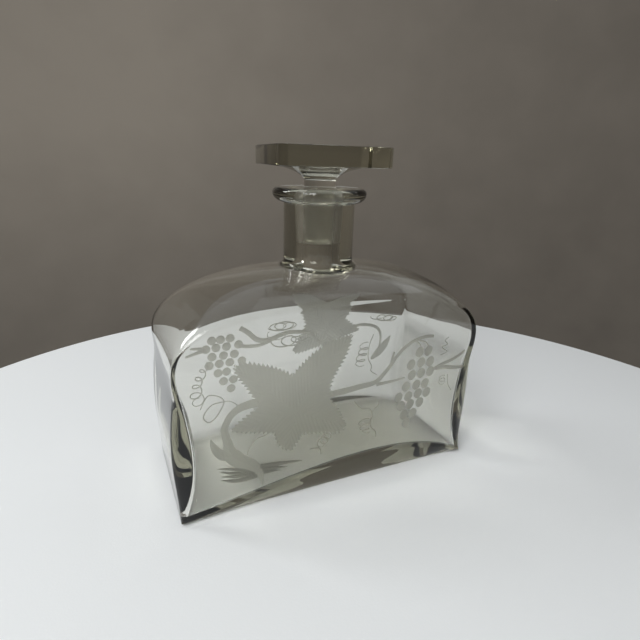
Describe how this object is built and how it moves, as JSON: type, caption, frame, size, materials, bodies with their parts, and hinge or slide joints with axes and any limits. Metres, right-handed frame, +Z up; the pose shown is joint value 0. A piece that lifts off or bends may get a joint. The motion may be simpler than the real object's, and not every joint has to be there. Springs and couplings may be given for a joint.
{
  "type": "wine decanter",
  "caption": "Flat-faced clear glass wine decanter with an arched shoulder, a short collared neck, an engraved vine on its face and a loose square-headed glass stopper.",
  "frame": {"origin": "on the table, under the middle of the neck", "axes": "+X along the wide face, +Y from the engraved front face to the back face, +Z up along the neck"},
  "size_m": [0.182, 0.076, 0.1862],
  "materials": {
    "blown_glass": "clear blown glass with a slight grey-olive tint, engraved on the front and back faces",
    "cut_glass": "clear cut and polished glass, ground matt on the plug"
  },
  "bodies": {
    "bottle": {"bottle": "blown_glass"},
    "stopper": {"stopper": "cut_glass"}
  },
  "joints": [
    {"name": "stopper_lift", "type": "slide", "parent": "bottle", "child": "stopper", "axis": [0, 0, 1], "range_m": [0, 0.06]}
  ]
}
